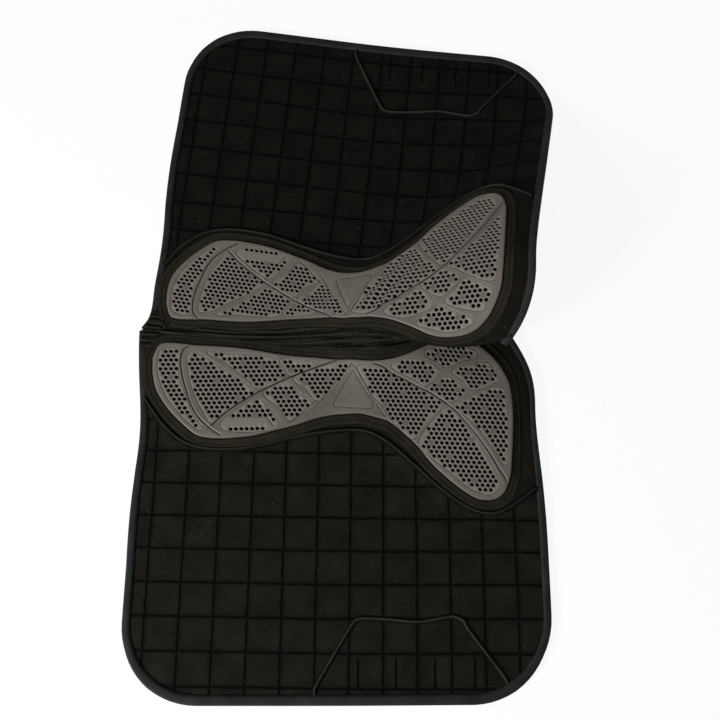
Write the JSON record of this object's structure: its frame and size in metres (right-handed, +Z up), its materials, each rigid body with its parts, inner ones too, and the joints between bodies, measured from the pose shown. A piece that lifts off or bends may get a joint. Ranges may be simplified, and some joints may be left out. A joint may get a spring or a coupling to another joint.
{
  "type": "dressage saddle pad",
  "caption": "Quilted dressage saddle pad lying open, with a perforated gel insert sewn to the inner side of each half and a fold along its spine.",
  "frame": {"origin": "middle of the footprint, on the surface that the open pad lies on", "axes": "+X along the spine towards the horse's head, +Y across to the half that lies on the horse's right, +Z up from the outer side to the inner side"},
  "size_m": [0.6592, 1.1318, 0.13],
  "materials": {
    "outer_cloth": "matte",
    "wadding": "matte",
    "lining": "matte",
    "gel": "satin",
    "band": "matte",
    "piping": "matte",
    "webbing": "matte",
    "binding": "satin",
    "spine_cloth": "matte"
  },
  "bodies": {
    "left_half": {"outer_cover_left": "outer_cloth", "wadding_left": "wadding", "lining_left": "lining", "gel_insert_left": "gel", "gel_band_left": "band", "gel_piping_left": "piping", "girth_patch_left": "outer_cloth", "patch_piping_left": "piping", "girth_keeper_left": "webbing", "edge_binding_left": "binding", "spine_strip_left": "spine_cloth", "spine_tape": "binding"},
    "right_half": {"outer_cover_right": "outer_cloth", "wadding_right": "wadding", "lining_right": "lining", "gel_insert_right": "gel", "gel_band_right": "band", "gel_piping_right": "piping", "girth_patch_right": "outer_cloth", "patch_piping_right": "piping", "girth_keeper_right": "webbing", "edge_binding_right": "binding", "spine_strip_right": "spine_cloth"}
  },
  "joints": [
    {"name": "spine_fold", "type": "hinge", "parent": "left_half", "child": "right_half", "pos_m": [-0.32616, 0.00019, 0.0144], "axis": [0.9946, -0.0497, 0.0909], "range_deg": [0, 165]}
  ]
}
